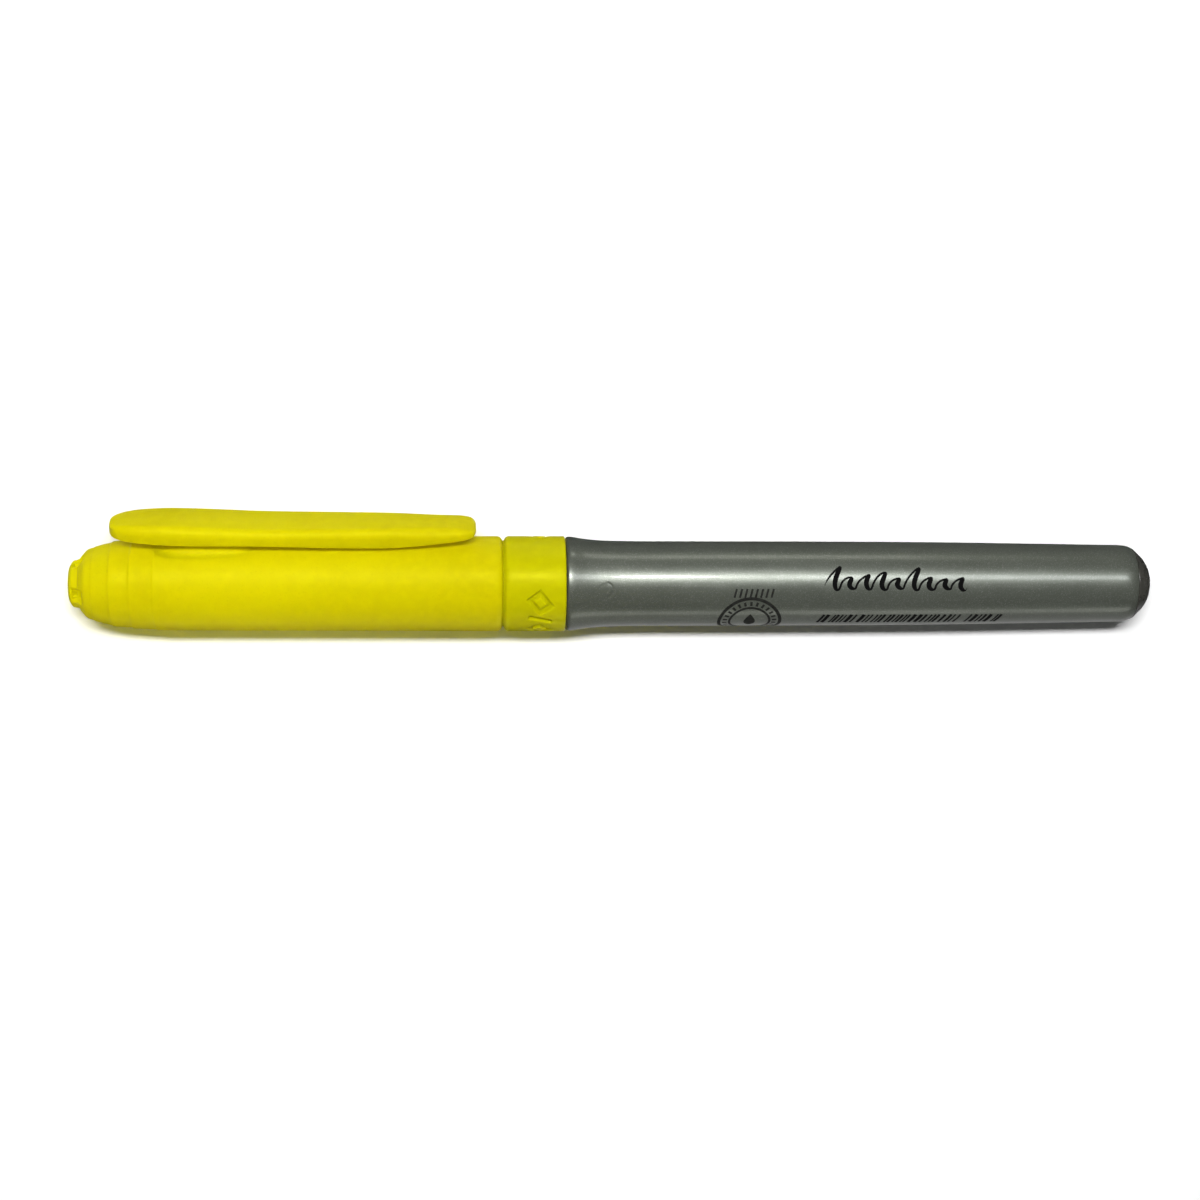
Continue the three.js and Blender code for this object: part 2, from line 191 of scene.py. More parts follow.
class Mat:
    """Small helper that builds one node material."""

    def __init__(self, name):
        self.m = bpy.data.materials.new(name)
        self.m.use_nodes = True
        self.t = self.m.node_tree
        self.b = self.t.nodes["Principled BSDF"]
        self.coord = self.t.nodes.new("ShaderNodeTexCoord").outputs["Object"]

    def set(self, **kw):
        for k, v in kw.items():
            self.b.inputs[k.replace("_", " ")].default_value = v
        return self

    def node(self, kind, **props):
        n = self.t.nodes.new(kind)
        for k, v in props.items():
            setattr(n, k, v)
        return n

    def link(self, a, b):
        self.t.links.new(a, b)

    def scaled(self, x, y, z):
        n = self.node("ShaderNodeMapping")
        n.inputs["Scale"].default_value = (x, y, z)
        self.link(self.coord, n.inputs["Vector"])
        return n.outputs["Vector"]

    def noise(self, scale, detail=2.0, rough=0.5, vector=None, distortion=0.0):
        n = self.node("ShaderNodeTexNoise")
        n.inputs["Scale"].default_value = scale
        n.inputs["Detail"].default_value = detail
        n.inputs["Roughness"].default_value = rough
        n.inputs["Distortion"].default_value = distortion
        self.link(vector or self.coord, n.inputs["Vector"])
        return n.outputs["Fac"]

    def voronoi(self, scale, vector=None, output="Color", feature="F1"):
        n = self.node("ShaderNodeTexVoronoi", feature=feature)
        n.inputs["Scale"].default_value = scale
        self.link(vector or self.coord, n.inputs["Vector"])
        return n.outputs[output]

    def span(self, value, a0, a1, b0, b1):
        n = self.node("ShaderNodeMapRange")
        for k, v in (("From Min", a0), ("From Max", a1), ("To Min", b0), ("To Max", b1)):
            n.inputs[k].default_value = v
        self.link(value, n.inputs["Value"])
        return n.outputs["Result"]

    def maths(self, op, a, b):
        n = self.node("ShaderNodeMath", operation=op)
        for i, v in enumerate((a, b)):
            if isinstance(v, (int, float)):
                n.inputs[i].default_value = v
            else:
                self.link(v, n.inputs[i])
        return n.outputs["Value"]

    def ramp(self, value, stops):
        n = self.node("ShaderNodeValToRGB")
        while len(n.color_ramp.elements) < len(stops):
            n.color_ramp.elements.new(0.5)
        for e, (p, c) in zip(n.color_ramp.elements, stops):
            e.position, e.color = p, c
        self.link(value, n.inputs["Fac"])
        return n.outputs["Color"]

    def mix(self, fac, a, b):
        n = self.node("ShaderNodeMix", data_type="RGBA")
        if isinstance(fac, (int, float)):
            n.inputs["Factor"].default_value = fac
        else:
            self.link(fac, n.inputs["Factor"])
        for k, v in (("A", a), ("B", b)):
            sock = [i for i in n.inputs if i.name == k and i.type == "RGBA"][0]
            if isinstance(v, tuple):
                sock.default_value = v
            else:
                self.link(v, sock)
        return [o for o in n.outputs if o.type == "RGBA"][0]

    def color(self, v):
        self.link(v, self.b.inputs["Base Color"])
        return self

    def rough(self, v):
        self.link(v, self.b.inputs["Roughness"])
        return self

    def bump(self, *layers):
        """layers of (height socket, strength, distance in metres)."""
        last = None
        for height, strength, distance in layers:
            n = self.node("ShaderNodeBump")
            n.inputs["Strength"].default_value = strength
            n.inputs["Distance"].default_value = distance
            self.link(height, n.inputs["Height"])
            if last is not None:
                self.link(last, n.inputs["Normal"])
            last = n.outputs["Normal"]
        self.link(last, self.b.inputs["Normal"])
        return self


def shade(c, f):
    return (c[0] * f, c[1] * f, c[2] * f, 1.0)


def yellow_plastic(name, base, deep, rough_lo, rough_hi, spark, painted_gap_light=0.0):
    """Satin moulded polypropylene: fine spark texture, faint flow marks, small rubbed scuffs.

    painted_gap_light is painted light: a yellow emission on faces turned towards the pen's axis, lifting the shade in
    the gap under the clip's arm."""
    m = Mat(name)
    cloud = m.noise(55, 3, 0.55)
    fleck = m.noise(900, 2, 0.5)
    body = m.ramp(cloud, [(0.36, deep), (0.60, base)])
    body = m.mix(m.span(fleck, 0.42, 0.68, 0.0, 0.40), body, shade(base, 1.08))
    speck = m.span(m.noise(3600, 2, 0.6), 0.56, 0.72, 0.0, 0.30)
    body = m.mix(speck, body, shade(deep, 0.84))
    scuff_v = m.scaled(55, 420, 420)
    scuff = m.span(m.noise(1.0, 4, 0.62, scuff_v, 0.6), 0.60, 0.74, 0.0, 1.0)
    patch = m.span(m.noise(110, 2, 0.5), 0.48, 0.62, 0.0, 1.0)
    worn = m.maths("MULTIPLY", scuff, patch)
    m.color(m.mix(m.maths("MULTIPLY", worn, 0.10), body, shade(base, 1.08)))
    r = m.span(m.noise(240, 3, 0.6), 0.3, 0.7, rough_lo, rough_hi)
    m.rough(m.maths("SUBTRACT", r, m.maths("MULTIPLY", worn, 0.10)))
    m.bump((m.noise(9000, 2, 0.6), spark, 0.000012), (m.noise(2600, 2, 0.5), spark * 0.8, 0.00002),
           (m.noise(170, 2, 0.5), 0.25, 0.00008))
    m.set(Specular_IOR_Level=0.16, IOR=1.40, Specular_Tint=(1.0, 0.93, 0.05, 1), Subsurface_Weight=0.55, Subsurface_Scale=0.0018)
    m.b.inputs["Subsurface Radius"].default_value = (1.0, 0.85, 0.15)
    if painted_gap_light:
        # painted light: the underside of the clip emits a little yellow light, brightening the shaded gap between the
        # arm and the cap
        under = m.node("ShaderNodeVectorMath")
        under.operation = "DOT_PRODUCT"
        m.link(m.node("ShaderNodeTexCoord").outputs["Normal"], under.inputs[0])
        under.inputs[1].default_value = (C(0, 0, 0) - C(0, 0, 1)).normalized()
        m.b.inputs["Emission Color"].default_value = (0.90, 0.78, 0.0, 1)
        m.link(m.span(under.outputs["Value"], 0.10, 0.70, 0.0, painted_gap_light), m.b.inputs["Emission Strength"])
    return m.m


MAT = {}
MAT["cap"] = yellow_plastic("yellow_cap_plastic", (0.568, 0.508, 0.0009, 1), (0.516, 0.455, 0.0007, 1), 0.40, 0.54, 0.55)
# the clip's copy of the yellow carries the painted light on its underside
MAT["clip"] = yellow_plastic("yellow_clip_plastic", (0.568, 0.508, 0.0009, 1), (0.516, 0.455, 0.0007, 1), 0.40, 0.54, 0.55, 0.25)
# a darker copy of the cap's yellow with a smoother finish; the darker colour is painted shade for the light falling off
# towards this end of the pen
MAT["collar"] = yellow_plastic("yellow_collar_plastic", (0.488, 0.467, 0.0010, 1), (0.458, 0.431, 0.0008, 1), 0.30, 0.42, 0.22)

# pearl grey barrel: metallic flake under a clear skin
m = Mat("pearl_grey_barrel")
flow = m.noise(1.0, 3, 0.55, m.scaled(28, 210, 210), 0.8)
tone = m.ramp(flow, [(0.28, (0.078, 0.086, 0.070, 1)), (0.70, (0.094, 0.103, 0.085, 1))])
flake = m.voronoi(14000)
bright = m.span(m.node("ShaderNodeSeparateColor").outputs["Red"], 0, 1, 0, 1)
sep = [n for n in m.t.nodes if n.bl_idname == "ShaderNodeSeparateColor"][0]
m.link(flake, sep.inputs["Color"])
spark = m.span(sep.outputs["Red"], 0.80, 1.0, 0.0, 0.40)
m.color(m.mix(spark, tone, (0.24, 0.25, 0.23, 1)))
hair_v = m.scaled(30, 1500, 1500)
hair = m.span(m.noise(1.0, 3, 0.6, hair_v, 0.3), 0.62, 0.78, 0.0, 0.10)
m.rough(m.maths("ADD", m.span(m.noise(300, 3, 0.6), 0.3, 0.7, 0.30, 0.37), hair))
m.bump((sep.outputs["Green"], 0.16, 0.000006), (m.noise(420, 2, 0.5), 0.12, 0.00002), (flow, 0.15, 0.00004))
m.set(Metallic=0.30, Specular_IOR_Level=0.35, IOR=1.36, Coat_Weight=0.30, Coat_Roughness=0.10, Coat_IOR=1.30)
MAT["barrel"] = m.m

# plug painted darker than the barrel's grey: painted shade for the dome, which turns away from the lights
m = Mat("dark_plug_painted_shade")
swirl = m.noise(1.0, 3, 0.6, m.scaled(600, 160, 160), 1.2)
m.color(m.ramp(swirl, [(0.30, (0.034, 0.034, 0.028, 1)), (0.72, (0.060, 0.058, 0.049, 1))]))
m.rough(m.span(m.noise(500, 3, 0.6), 0.3, 0.7, 0.24, 0.34))
m.bump((m.noise(3000, 2, 0.5), 0.12, 0.00001), (swirl, 0.4, 0.00005))
m.set(Specular_IOR_Level=0.35)
MAT["plug"] = m.m

# pad-printed ink
m = Mat("black_print_ink")
m.color(m.ramp(m.noise(2500, 3, 0.6), [(0.3, (0.0012, 0.0012, 0.0012, 1)), (0.75, (0.0040, 0.0040, 0.0040, 1))]))
m.rough(m.span(m.noise(5000, 2, 0.5), 0.3, 0.7, 0.70, 0.90))
m.bump((m.noise(7000, 2, 0.6), 0.4, 0.000006))
m.set(Specular_IOR_Level=0.03)
MAT["ink"] = m.m
m = Mat("thin_print_ink")
m.color(m.ramp(m.noise(2500, 3, 0.6), [(0.3, (0.008, 0.008, 0.007, 1)), (0.75, (0.026, 0.027, 0.024, 1))]))
m.rough(m.span(m.noise(5000, 2, 0.5), 0.3, 0.7, 0.60, 0.80))
m.bump((m.noise(7000, 2, 0.6), 0.4, 0.000006))
m.set(Specular_IOR_Level=0.05)
MAT["thin_ink"] = m.m

# natural polyethylene inner cap
m = Mat("natural_polyethylene")
m.color(m.ramp(m.noise(260, 3, 0.5), [(0.3, (0.74, 0.75, 0.66, 1)), (0.7, (0.84, 0.85, 0.78, 1))]))
m.rough(m.span(m.noise(700, 2, 0.5), 0.3, 0.7, 0.34, 0.50))
m.bump((m.noise(4000, 2, 0.5), 0.3, 0.00001))
m.set(Subsurface_Weight=0.45, Subsurface_Scale=0.0015)
MAT["seal"] = m.m

# soft grip
m = Mat("soft_grip_elastomer")
m.color(m.ramp(m.noise(340, 4, 0.6), [(0.3, lin(178, 166, 8)), (0.7, lin(200, 188, 12))]))
m.rough(m.span(m.noise(1200, 3, 0.6), 0.3, 0.7, 0.66, 0.86))
m.bump((m.noise(6500, 3, 0.6), 0.6, 0.00002), (m.voronoi(2600, output="Distance"), 0.25, 0.00002))
m.set(Specular_IOR_Level=0.2, Sheen_Weight=0.03)
MAT["grip"] = m.m

# felt chisel nib, fibres along the pen
m = Mat("stained_felt_nib")
fib = m.noise(1.0, 4, 0.65, m.scaled(260, 5200, 5200))
m.color(m.ramp(fib, [(0.25, lin(196, 206, 0)), (0.5, lin(226, 236, 8)), (0.8, lin(240, 246, 60))]))
m.rough(m.span(fib, 0.2, 0.8, 0.98, 0.78))
m.bump((fib, 0.9, 0.00004), (m.noise(9000, 3, 0.7), 0.5, 0.00002))
m.set(Sheen_Weight=0.35, Specular_IOR_Level=0.2)
MAT["felt"] = m.m

# ink-soaked fibre rod and its film
m = Mat("inked_fibre_rod")
fib = m.noise(1.0, 5, 0.65, m.scaled(60, 3800, 3800), 0.3)
m.color(m.ramp(fib, [(0.25, lin(206, 210, 30)), (0.75, lin(240, 242, 96))]))
m.rough(m.span(fib, 0.2, 0.8, 0.98, 0.82))
m.bump((fib, 0.9, 0.00006))
m.set(Sheen_Weight=0.3)
MAT["fibre"] = m.m
m = Mat("clear_wrap_film")
crease = m.noise(1.0, 4, 0.6, m.scaled(120, 600, 600), 1.0)
m.color(m.ramp(crease, [(0.3, (0.78, 0.80, 0.62, 1)), (0.7, (0.86, 0.88, 0.72, 1))]))
m.rough(m.span(crease, 0.2, 0.8, 0.12, 0.26))
m.bump((crease, 0.5, 0.00005))
m.set(Transmission_Weight=0.35)
MAT["film"] = m.m


def dress(ob, mat):
    ob.data.materials.clear()
    ob.data.materials.append(MAT[mat])
    return ob


# ------------------------------------------------------------------------------------------------ cap
SLOTS = [CLIP_A + k * math.pi / 2 for k in range(4)]
outer = rounded([
    (0.0, 0.0), (0.0, 1.95, 0.25), (0.05, 2.36, 0.15), (0.33, 2.83, 0.25), (0.88, 3.12, 0.3), (1.30, 3.34, 0.25),
    (1.62, 3.68, 0.25), (2.10, 4.27, 0.25), (2.42, 4.50, 0.2), (3.08, 4.69, 0.08), (3.24, 4.80, 0.08), (4.3, 5.10, 0.4), (5.30, 5.31, 0.10),
    (5.52, 5.47, 0.10), (6.1, 5.54, 0.2), (7.88, 5.61, 0.10), (8.12, 5.76, 0.10), (10.88, 5.87, 0.10),
    (11.10, 5.968, 0.10), (14.5, 6.02, 0.8), (30, 6.07, 1.0), (54.50, 6.168, 0.3), (54.86, 6.03, 0.25), (55.12, 5.62, 0.1),
])
n_outer = len(outer)
inner = rounded([
    (55.12, 5.62), (55.12, 5.28, 0.1), (54.94, 5.13, 0.08), (52.85, 5.12, 0.1), (52.55, 5.22, 0.1), (51.55, 5.22, 0.1),
    (51.25, 5.12, 0.1), (48.3, 5.12, 0.2), (47.9, 5.06, 0.2), (13, 5.04, 0.5), (9.5, 4.82, 0.8), (6.5, 4.42, 0.8),
    (4.4, 3.85, 0.5), (3.1, 3.1, 0.3), (2.3, 2.2, 0.2), (1.2, 2.1, 0.1), (1.2, 0.0),
])
profile = split(outer, 0.2, 2.6, 0.055) + inner[1:]
first_inner = len(profile) - len(inner) + 1


def cap_move(i, s, r, a):
    """Four soft notches round the button, a small well in the floor of each and a flatter lug between them."""
    if i >= first_inner or s > 2.6 or s < 0.2:
        return s, r
    d = min(abs((a - q + math.pi) % TAU - math.pi) for q in SLOTS)
    lug = 0.75 * smooth(math.radians(15), math.radians(26), d) * smooth(0.20, 0.62, s) * (1 - smooth(1.32, 1.50, s))
    r += lug * (3.03 * k_lug(s) - r)
    across = d * max(r, 2.4)
    near = 1 - smooth(0.72, 1.12, across)
    along = smooth(0.36, 0.62, s) * (1 - smooth(1.70, 2.10, s))
    depth = near * along * max(0.0, r - 2.72)
    well = (1 - smooth(0.34, 0.50, across)) * smooth(0.62, 0.78, s) * (1 - smooth(1.20, 1.38, s))
    depth += well * 0.30
    return s, r - depth


def k_lug(s):
    return 1.0 + 0.02 * (s - 0.8)


cap = lathe("cap_body", profile, seg=360, move=cap_move, sharp=50)
dress(cap, "cap")
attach(cap, "cap")
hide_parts("cap_shell")

# ------------------------------------------------------------------------------------------------ clip
# s, half width, underside, crown, upper corner radius
CLIP = [
    (5.60, 0.62, 7.88, 8.92, 0.30), (5.68, 1.00, 7.74, 9.14, 0.45), (5.95, 1.60, 7.63, 9.28, 0.65),
    (6.50, 2.15, 7.56, 9.42, 0.85), (7.50, 2.65, 7.48, 9.60, 1.05), (9.40, 3.08, 7.40, 9.78, 1.20),
    (12.4, 3.35, 7.28, 9.88, 1.30), (16.3, 3.45, 7.21, 9.78, 1.30), (20.2, 3.42, 7.18, 9.61, 1.25),
    (24.1, 3.38, 7.13, 9.44, 1.20), (28.05, 3.30, 7.00, 9.39, 1.20), (32.0, 3.22, 6.85, 9.39, 1.20),
    (35.9, 3.12, 6.75, 9.39, 1.20), (39.9, 3.00, 6.68, 9.39, 1.20), (42.8, 2.92, 6.80, 9.37, 1.32),
    (45.8, 2.82, 7.05, 9.32, 1.45), (48.8, 2.70, 7.38, 9.22, 1.35), (50.2, 2.58, 7.58, 9.10, 1.10),
    (51.0, 2.28, 7.70, 8.88, 0.65), (51.4, 1.88, 7.82, 8.68, 0.45), (51.6, 1.38, 7.95, 8.50, 0.25),
    (51.70, 0.80, 8.06, 8.38, 0.10),
]


def spline(rows, per):
    """Catmull-Rom through the rows, chord-length spaced."""
    t = [0.0]
    for a, b in zip(rows, rows[1:]):
        t.append(t[-1] + math.sqrt(math.hypot(b[0] - a[0], b[1] - a[1], b[3] - a[3])))
    out = []
    n = len(rows)
    for i in range(n - 1):
        tang = []
        for j in (i, i + 1):
            lo, hi = max(0, j - 1), min(n - 1, j + 1)
            tang.append([(rows[hi][k] - rows[lo][k]) / (t[hi] - t[lo]) for k in range(len(rows[0]))])
        h = t[i + 1] - t[i]
        for q in range(per):
            u = q / per
            a, b = 2 * u**3 - 3 * u**2 + 1, u**3 - 2 * u**2 + u
            c, d = -2 * u**3 + 3 * u**2, u**3 - u**2
            out.append([a * rows[i][k] + b * h * tang[0][k] + c * rows[i + 1][k] + d * h * tang[1][k]
                        for k in range(len(rows[0]))])
    out.append(list(rows[-1]))
    return out


def clip_section(row):
    s, half, under, crown, sh = row
    half = max(half, 0.05)
    arch = 0.14 * (half / 3)
    low = min(0.34, sh * 0.6, half * 0.5)
    sh = min(sh, half * 0.95, (crown - under) * 0.70)
    pts = []

    def arc(cy, cz, r, a0, a1, n):
        for i in range(n + 1):
            a = a0 + (a1 - a0) * i / n
            pts.append((cy + r * math.cos(a), cz + r * math.sin(a)))

    arc(half - low, under + low, low, -math.pi / 2, 0, 5)
    arc(half - sh, crown - arch - sh, sh, 0, math.pi / 2, 10)
    top_y = half - sh
    for i in range(1, 8):
        u = 1 - 2 * i / 8
        pts.append((top_y * u, crown - arch * u * u))
    arc(sh - half, crown - arch - sh, sh, math.pi / 2, math.pi, 10)
    arc(low - half, under + low, low, math.pi, 1.5 * math.pi, 5)
    for i in range(1, 6):
        pts.append(((low - half) + (half - low) * 2 * i / 6, under))
    return pts


bm = bmesh.new()
rings = []
for row in spline(CLIP, 9):
    rings.append([bm.verts.new(C(row[0], y, z)) for y, z in clip_section(row)])
for a, b in zip(rings, rings[1:]):
    n = len(a)
    for j in range(n):
        bm.faces.new((a[j], a[(j + 1) % n], b[(j + 1) % n], b[j]))
for ring, ds in ((rings[0], -0.03), (rings[-1], 0.0)):
    centre = sum((v.co for v in ring), Vector()) / len(ring)
    last = ring
    for f, g in ((0.75, 0.6), (0.4, 0.9)):
        new = [bm.verts.new(centre + (v.co - centre) * f + Vector((ds * g * MM, 0, 0))) for v in ring]
        for j in range(len(ring)):
            bm.faces.new((last[j], last[(j + 1) % len(ring)], new[(j + 1) % len(ring)], new[j]))
        last = new
    mid = bm.verts.new(centre + Vector((ds * MM, 0, 0)))
    for j in range(len(last)):
        bm.faces.new((last[j], last[(j + 1) % len(last)], mid))
clip = finish_mesh("clip_arm", bm, 60)
dress(clip, "clip")
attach(clip, "clip")
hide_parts("pocket_clip")

# pad under the arm: a low smooth boat shape
bm = bmesh.new()
rings = []
for i in range(25):
    u = i / 24
    s = 37.7 + 5.2 * u
    e = math.sin(math.pi * u) ** 0.6
    low, half = 7.0 - 0.53 * e, 0.35 + 0.95 * e
    ring = []
    for j in range(25):
        q = math.pi * j / 24
        ring.append(bm.verts.new(C(s, half * math.cos(q), 7.30 - (7.30 - low) * math.sin(q) ** 0.55)))
    rings.append(ring)
for a, b in zip(rings, rings[1:]):
    for j in range(len(a)):
        bm.faces.new((a[j], a[(j + 1) % len(a)], b[(j + 1) % len(a)], b[j]))
bm.faces.new(rings[0])
bm.faces.new(list(reversed(rings[-1])))
pad = finish_mesh("clip_pad", bm, 60)
dress(pad, "clip")
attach(pad, "clip")

# root of the clip: one soft-edged web that flares into the cap below and into the arm above
bm = bmesh.new()
LEVELS = [  # height, half width, front end, rear end, how far it follows the cap's round surface
    (6.03, 3.05, 10.6, 24.9, 1.0), (6.04, 2.76, 11.2, 24.3, 1.0), (6.07, 2.44, 11.8, 23.7, 0.94), (6.14, 2.12, 12.3, 23.1, 0.80),
    (6.40, 1.90, 12.7, 22.6, 0.32), (6.62, 1.76, 12.9, 22.4, 0.0), (6.78, 1.80, 12.9, 22.5, 0.0), (6.94, 2.00, 12.7, 22.9, 0.0),
    (7.08, 2.34, 12.3, 23.6, 0.0), (7.20, 2.70, 11.8, 24.6, 0.0), (7.45, 2.62, 11.8, 24.4, 0.0),
]
rings = []
for z, half, s0, s1, follow in LEVELS:
    ring = []
    for j in range(96):
        q = TAU * j / 96
        cs, sn = math.cos(q), math.sin(q)
        y = half * (abs(sn) ** 0.8) * (1 if sn >= 0 else -1)
        s = (s0 + s1) / 2 + (s1 - s0) / 2 * (abs(cs) ** 0.45) * (1 if cs >= 0 else -1)
        on = math.sqrt(max(0.0, 6.0**2 - y * y)) - 0.02
        zz = z * (1 - follow) + (on + (z - 6.03)) * follow
        if z == 6.03:
            zz = on - 0.03
        ring.append(bm.verts.new(C(s, y, zz)))
    rings.append(ring)
for a, b in zip(rings, rings[1:]):
    for j in range(96):
        bm.faces.new((a[j], a[(j + 1) % 96], b[(j + 1) % 96], b[j]))
for ring in (rings[0], rings[-1]):
    centre = bm.verts.new(sum((v.co for v in ring), Vector()) / len(ring))
    for j in range(96):
        bm.faces.new((ring[j], ring[(j + 1) % 96], centre))
web = finish_mesh("clip_root", bm, 60)
dress(web, "clip")
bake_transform(web)

# ------------------------------------------------------------------------------------------------ inner cap
seal = lathe("inner_seal_cup", rounded([
    (4.6, 0), (4.6, 2.5, 0.2), (5.1, 3.1, 0.3), (8.6, 4.05, 0.6), (12.2, 4.5, 0.5), (24.0, 4.56, 0.2), (24.5, 4.42, 0.1),
    (24.5, 4.16, 0.1), (23.9, 4.06, 0.15), (17.2, 4.05, 0.3), (15.6, 3.72, 0.4), (7.2, 3.1, 0.5), (5.6, 2.2, 0.3), (5.6, 0),
]), seg=96)
dress(seal, "seal")
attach(seal, "seal")
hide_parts("inner_cap")
for i in range(6):
    a = CLIP_A + (i + 0.5) * math.pi / 3
    bm = bmesh.new()
    rows = []
    for s, top in ((13.2, 4.5), (13.5, 4.80), (13.9, 4.93), (22.6, 4.93), (23.0, 4.80), (23.3, 4.5)):
        row = []
        for dy, dz in ((-0.34, -0.18), (-0.34, top - 4.55), (-0.26, top - 4.48), (0.26, top - 4.48), (0.34, top - 4.55), (0.34, -0.18)):
            r, off = (4.48 + dz) * K, dy * MM
            p = W(s, r, a)
            row.append(bm.verts.new(p + Vector((0, off * math.cos(a), -off * math.sin(a)))))
        rows.append(row)
    for p, q in zip(rows, rows[1:]):
        for j in range(6):
            bm.faces.new((p[j], p[(j + 1) % 6], q[(j + 1) % 6], q[j]))
    bm.faces.new(rows[0])
    bm.faces.new(list(reversed(rows[-1])))
    rib = finish_mesh("inner_seal_rib_%d" % (i + 1), bm, 40)
    dress(rib, "seal")
    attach(rib, "seal")

# ------------------------------------------------------------------------------------------------ front section
def mark_depth(s, a):
    """Depth of the engraved band of diamonds and bars that runs round most of the collar."""
    best = 9.0
    for k in range(11):
        mid = math.radians(-25 - 24.5 * k)
        t = ((a - mid + math.pi) % TAU - math.pi) * 6.14
        u = s - 59.85
        if abs(u) > 1.9 or abs(t) > 1.9:
            continue
        lean = t + 0.25 * u
        if k % 2:
            q = max(-1.2, min(1.2, u))
            best = min(best, math.hypot(u - q, t + 0.3 * q))
        else:
            best = min(best, abs(abs(u) / 1.3 + abs(lean) / 1.35 - 1) * 0.95)
    return 0.46 * (1 - smooth(0.17, 0.40, best))


front_profile = rounded([
    (17.0, 1.5), (17.0, 3.0, 0.12), (17.3, 3.24, 0.15), (19.5, 3.78, 0.4), (20.1, 3.98, 0.2), (24.6, 3.98, 0.15), (24.9, 4.5, 0.12),
    (25.6, 4.92, 0.15), (26.0, 4.94, 0.06), (26.0, 4.2, 0.05), (47.6, 4.2, 0.05), (47.6, 4.92, 0.05), (48.0, 4.98, 0.1),
    (51.45, 4.98, 0.1), (51.75, 5.06, 0.1), (52.35, 5.06, 0.1), (52.65, 4.98, 0.1), (55.14, 4.98, 0.02), (55.14, 5.56, 0.03),
    (55.28, 5.58, 0.03), (55.28, 5.62, 0.05), (55.52, 6.02, 0.25), (55.88, 6.168, 0.3),
]) + [(56.3 + 0.1 * i, 6.17) for i in range(66)] + rounded([
    (62.85, 6.17), (63.02, 6.17, 0.1), (63.16, 6.06, 0.08), (63.16, 5.3, 0.05), (58.1, 5.3, 0.04), (58.1, 4.82, 0.04), (73.0, 4.8, 0.1), (73.4, 4.6, 0.1),
    (73.4, 3.56, 0.1), (30.6, 3.56, 0.2), (29.8, 3.0, 0.2), (26.0, 3.0, 0.1), (26.0, 1.5),
])


def front_move(i, s, r, a):
    if 56.2 < s < 62.9 and r > 6.0:
        return s, r - mark_depth(s, a)
    return s, r


front = lathe("front_holder", front_profile, seg=480, closed=True, move=front_move, sharp=50)
dress(front, "collar")
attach(front, "pen")
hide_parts("front_section")

# grip sleeve with rounded ribs
pts = [(26.15, 4.28), (26.15, 4.76, 0.1), (26.45, 4.90, 0.15)]
for i in range(5):
    s = 29.0 + i * 3.6
    pts += [(s - 0.1, 4.92, 0.3), (s + 0.35, 4.66, 0.25), (s + 0.85, 4.66, 0.25), (s + 1.3, 4.92, 0.3)]
pts += [(47.2, 4.90, 0.15), (47.45, 4.76, 0.1), (47.45, 4.28)]
grip = lathe("grip_sleeve_ribbed", rounded(pts), seg=144, closed=True,
             move=lambda i, s, r, a: (s, r - 0.035 * (0.5 + 0.5 * math.cos(a * 36)) ** 3 if r > 4.8 else r))
dress(grip, "grip")
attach(grip, "pen")
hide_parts("grip_sleeve")

# ------------------------------------------------------------------------------------------------ chisel nib
bm = bmesh.new()
H, T, TIP = 2.3, 1.5, 11.4


def nib_at(u):
    """Top z, bottom z and half thickness at distance u from the tip."""
    top = H - 0.45 * (1 - smooth(0, 0.9, u)) ** 1.5
    low = -H + max(0.0, 1 - u / 3.7) ** 1.0 * (2 * H - 0.62)
    return top, low, min(T, 0.78 + 0.165 * u)


rings = []
STEPS = [0.0, 0.08, 0.2, 0.4, 0.7, 1.0, 1.4, 1.8, 2.2, 2.6, 3.0, 3.3, 3.6, 3.8, 4.1, 4.6, 5.4, 6.5, 8.0, 11.0]
for u in STEPS:
    top, low, th = nib_at(u)
    if u < 0.2:
        f = 0.82 + 0.9 * u
        mid = (top + low) / 2
        top, low, th = mid + (top - mid) * f, mid + (low - mid) * f, th * f
    ring, rad = [], min(0.35, (top - low) * 0.3, th * 0.45)
    for cy, cz, a0 in ((th - rad, low + rad, -90), (th - rad, top - rad, 0), (rad - th, top - rad, 90), (rad - th, low + rad, 180)):
        for q in range(6):
            a = math.radians(a0 + 18 * q)
            ring.append(bm.verts.new(C(TIP + u, cy + rad * math.cos(a), cz + rad * math.sin(a))))
    rings.append(ring)
for a, b in zip(rings, rings[1:]):
    for j in range(24):
        bm.faces.new((a[j], a[(j + 1) % 24], b[(j + 1) % 24], b[j]))
for ring in (rings[0], rings[-1]):
    c = bm.verts.new(sum((v.co for v in ring), Vector()) / 24)
    for j in range(24):
        bm.faces.new((ring[j], ring[(j + 1) % 24], c))
nib = finish_mesh("felt_chisel_nib", bm, 45)
dress(nib, "felt")
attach(nib, "pen")
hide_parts("chisel_nib")
stem = lathe("felt_nib_stem", rounded([(22.0, 0), (22.0, 1.35, 0.1), (35.4, 1.35, 0.3), (36.6, 0.55, 0.3), (36.6, 0)]), seg=64,
             move=lambda i, s, r, a: (s, r * (1 - 0.03 * (0.5 + 0.5 * math.cos(a * 12)))))
dress(stem, "felt")
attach(stem, "pen")

